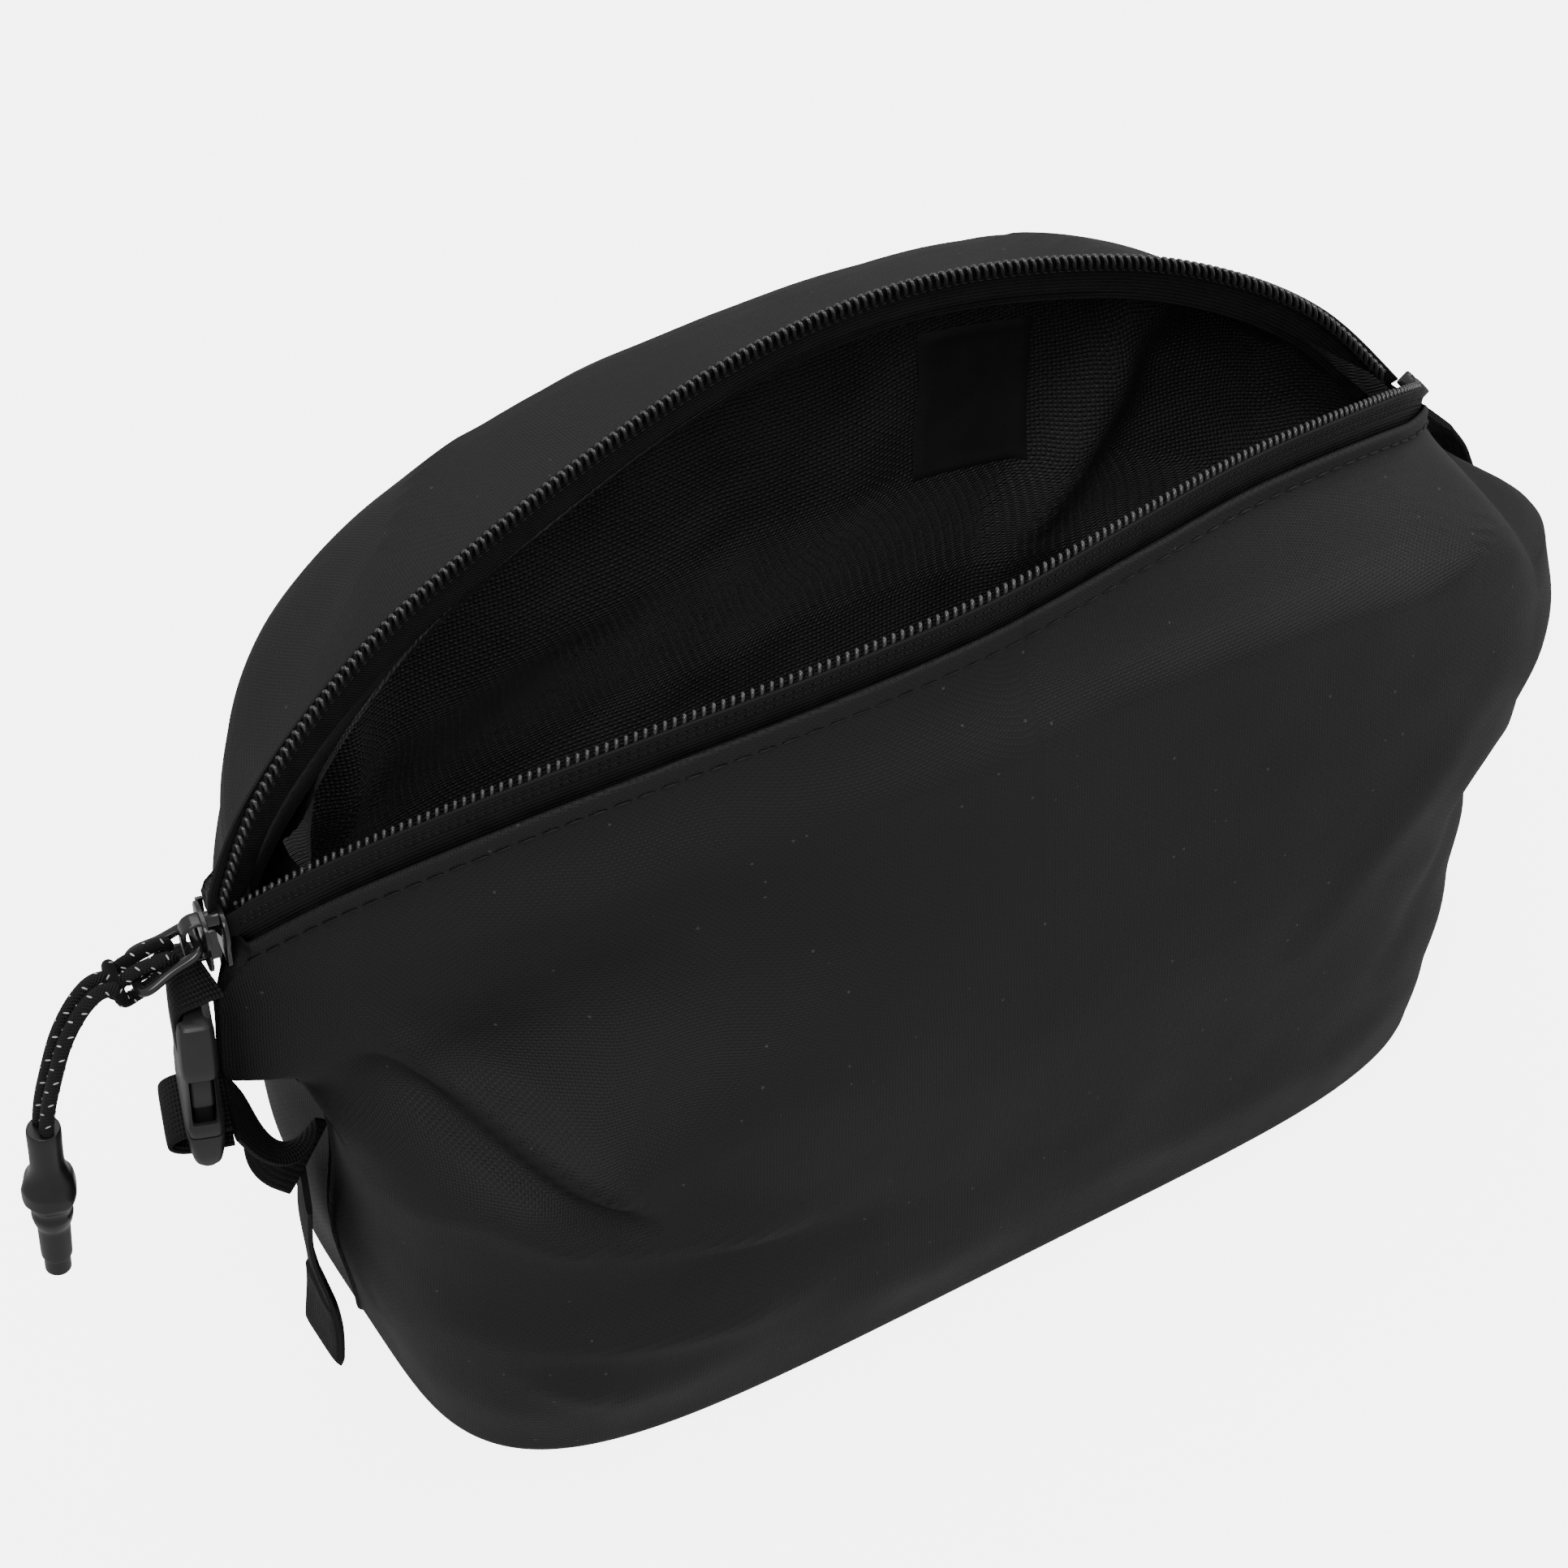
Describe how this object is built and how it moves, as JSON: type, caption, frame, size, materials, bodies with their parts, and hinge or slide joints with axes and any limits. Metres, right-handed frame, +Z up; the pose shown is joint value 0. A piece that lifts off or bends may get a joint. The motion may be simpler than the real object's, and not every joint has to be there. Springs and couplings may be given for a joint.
{
  "type": "wash bag",
  "caption": "Soft black wash bag with an arched zip mouth held open, a side-release buckle and adjustable strap at each end, and a corded zip pull.",
  "frame": {"origin": "on the surface that the bag stands on, under the middle of its base", "axes": "+X along the bag towards the end away from the zip pull, -Y to the front with the lower lip, +Z up"},
  "size_m": [0.3027, 0.1139, 0.1728],
  "materials": {
    "shell_fabric": "matte coated fine weave",
    "lining_fabric": "matte plain weave",
    "label_fabric": "plain satin patch",
    "tape_fabric": "matte woven tape",
    "coil_nylon": "glossy moulded coil",
    "slider_metal": "glossy black enamel",
    "cord_braid": "tight braid with pale flecks",
    "sleeve_rubber": "semi-gloss shrunk tube",
    "webbing": "ribbed flat webbing",
    "buckle_plastic": "satin moulded plastic"
  },
  "bodies": {
    "bag_body": {"front_panel": "shell_fabric", "back_panel": "shell_fabric", "base_panel": "shell_fabric", "front_lining": "lining_fabric", "back_lining": "lining_fabric", "base_lining": "lining_fabric", "inner_label": "label_fabric", "zip_bottom_stop": "slider_metal", "left_tab": "webbing", "left_strap": "webbing", "left_strap_tail": "webbing", "right_tab": "webbing", "right_strap": "webbing", "right_strap_tail": "webbing"},
    "front_lip": {"front_zip_tape": "tape_fabric", "front_zip_coil": "coil_nylon"},
    "back_lip": {"back_zip_tape": "tape_fabric", "back_zip_coil": "coil_nylon"},
    "zip_slider": {"slider_body": "slider_metal"},
    "puller": {"pull_wire": "slider_metal"},
    "pull_cord": {"cord_hitch": "cord_braid", "cord_strand_front": "cord_braid", "cord_strand_rear": "cord_braid", "cord_sleeve": "sleeve_rubber"},
    "left_buckle": {"left_buckle_socket": "buckle_plastic", "left_buckle_plug": "buckle_plastic", "left_strap_loop": "webbing"},
    "left_front_prong": {"left_prong_front": "buckle_plastic"},
    "left_rear_prong": {"left_prong_rear": "buckle_plastic"},
    "right_buckle": {"right_buckle_socket": "buckle_plastic", "right_buckle_plug": "buckle_plastic", "right_strap_loop": "webbing"},
    "right_front_prong": {"right_prong_front": "buckle_plastic"},
    "right_rear_prong": {"right_prong_rear": "buckle_plastic"}
  },
  "joints": [
    {"name": "front_lip_close", "type": "hinge", "parent": "bag_body", "child": "front_lip", "pos_m": [-0.0055, 0, 0.1178], "axis": [-0.9996, 0, -0.027], "range_deg": [0, 34]},
    {"name": "back_lip_close", "type": "hinge", "parent": "bag_body", "child": "back_lip", "pos_m": [-0.0055, 0, 0.1178], "axis": [0.9996, 0, 0.027], "range_deg": [0, 18.7]},
    {"name": "slider_run", "type": "hinge", "parent": "bag_body", "child": "zip_slider", "pos_m": [-0.0055, 0, 0.02723], "axis": [0, 1, 0], "range_deg": [0, 3]},
    {"name": "puller_swing", "type": "hinge", "parent": "zip_slider", "child": "puller", "pos_m": [-0.12861, 0.00052, 0.1122], "axis": [0.1701, 0.9854, 0], "range_deg": [-8, 70]},
    {"name": "cord_swing", "type": "hinge", "parent": "puller", "child": "pull_cord", "pos_m": [-0.13905, 0.00232, 0.1076], "axis": [0.1701, 0.9854, 0], "range_deg": [-18, 40]},
    {"name": "left_buckle_swing", "type": "hinge", "parent": "bag_body", "child": "left_buckle", "pos_m": [-0.1314, 0, 0.0995], "axis": [0.3006, 0.9537, -0.0125], "range_deg": [0, 10]},
    {"name": "right_buckle_swing", "type": "hinge", "parent": "bag_body", "child": "right_buckle", "pos_m": [0.1315, 0, 0.0915], "axis": [0.0992, -0.9951, -0.0055], "range_deg": [0, 10]},
    {"name": "left_prong_front_squeeze", "type": "hinge", "parent": "left_buckle", "child": "left_front_prong", "pos_m": [-0.13419, -0.00591, 0.0773], "axis": [-0.9528, 0.3009, 0.0397], "range_deg": [0, 4], "stiffness_Nm_per_rad": 0.02},
    {"name": "left_prong_rear_squeeze", "type": "hinge", "parent": "left_buckle", "child": "left_rear_prong", "pos_m": [-0.13046, 0.00591, 0.07714], "axis": [0.9528, -0.3009, -0.0397], "range_deg": [0, 4], "stiffness_Nm_per_rad": 0.02},
    {"name": "right_prong_front_squeeze", "type": "hinge", "parent": "right_buckle", "child": "right_front_prong", "pos_m": [0.13088, -0.00617, 0.0692], "axis": [-0.9935, -0.0994, 0.0552], "range_deg": [0, 4], "stiffness_Nm_per_rad": 0.02},
    {"name": "right_prong_rear_squeeze", "type": "hinge", "parent": "right_buckle", "child": "right_rear_prong", "pos_m": [0.12965, 0.00617, 0.06927], "axis": [0.9935, 0.0994, -0.0552], "range_deg": [0, 4], "stiffness_Nm_per_rad": 0.02}
  ],
  "couplings": [
    {"joint": "back_lip_close", "follows": "front_lip_close", "ratio": 0.55},
    {"joint": "left_prong_rear_squeeze", "follows": "left_prong_front_squeeze", "ratio": 1},
    {"joint": "right_prong_rear_squeeze", "follows": "right_prong_front_squeeze", "ratio": 1}
  ]
}
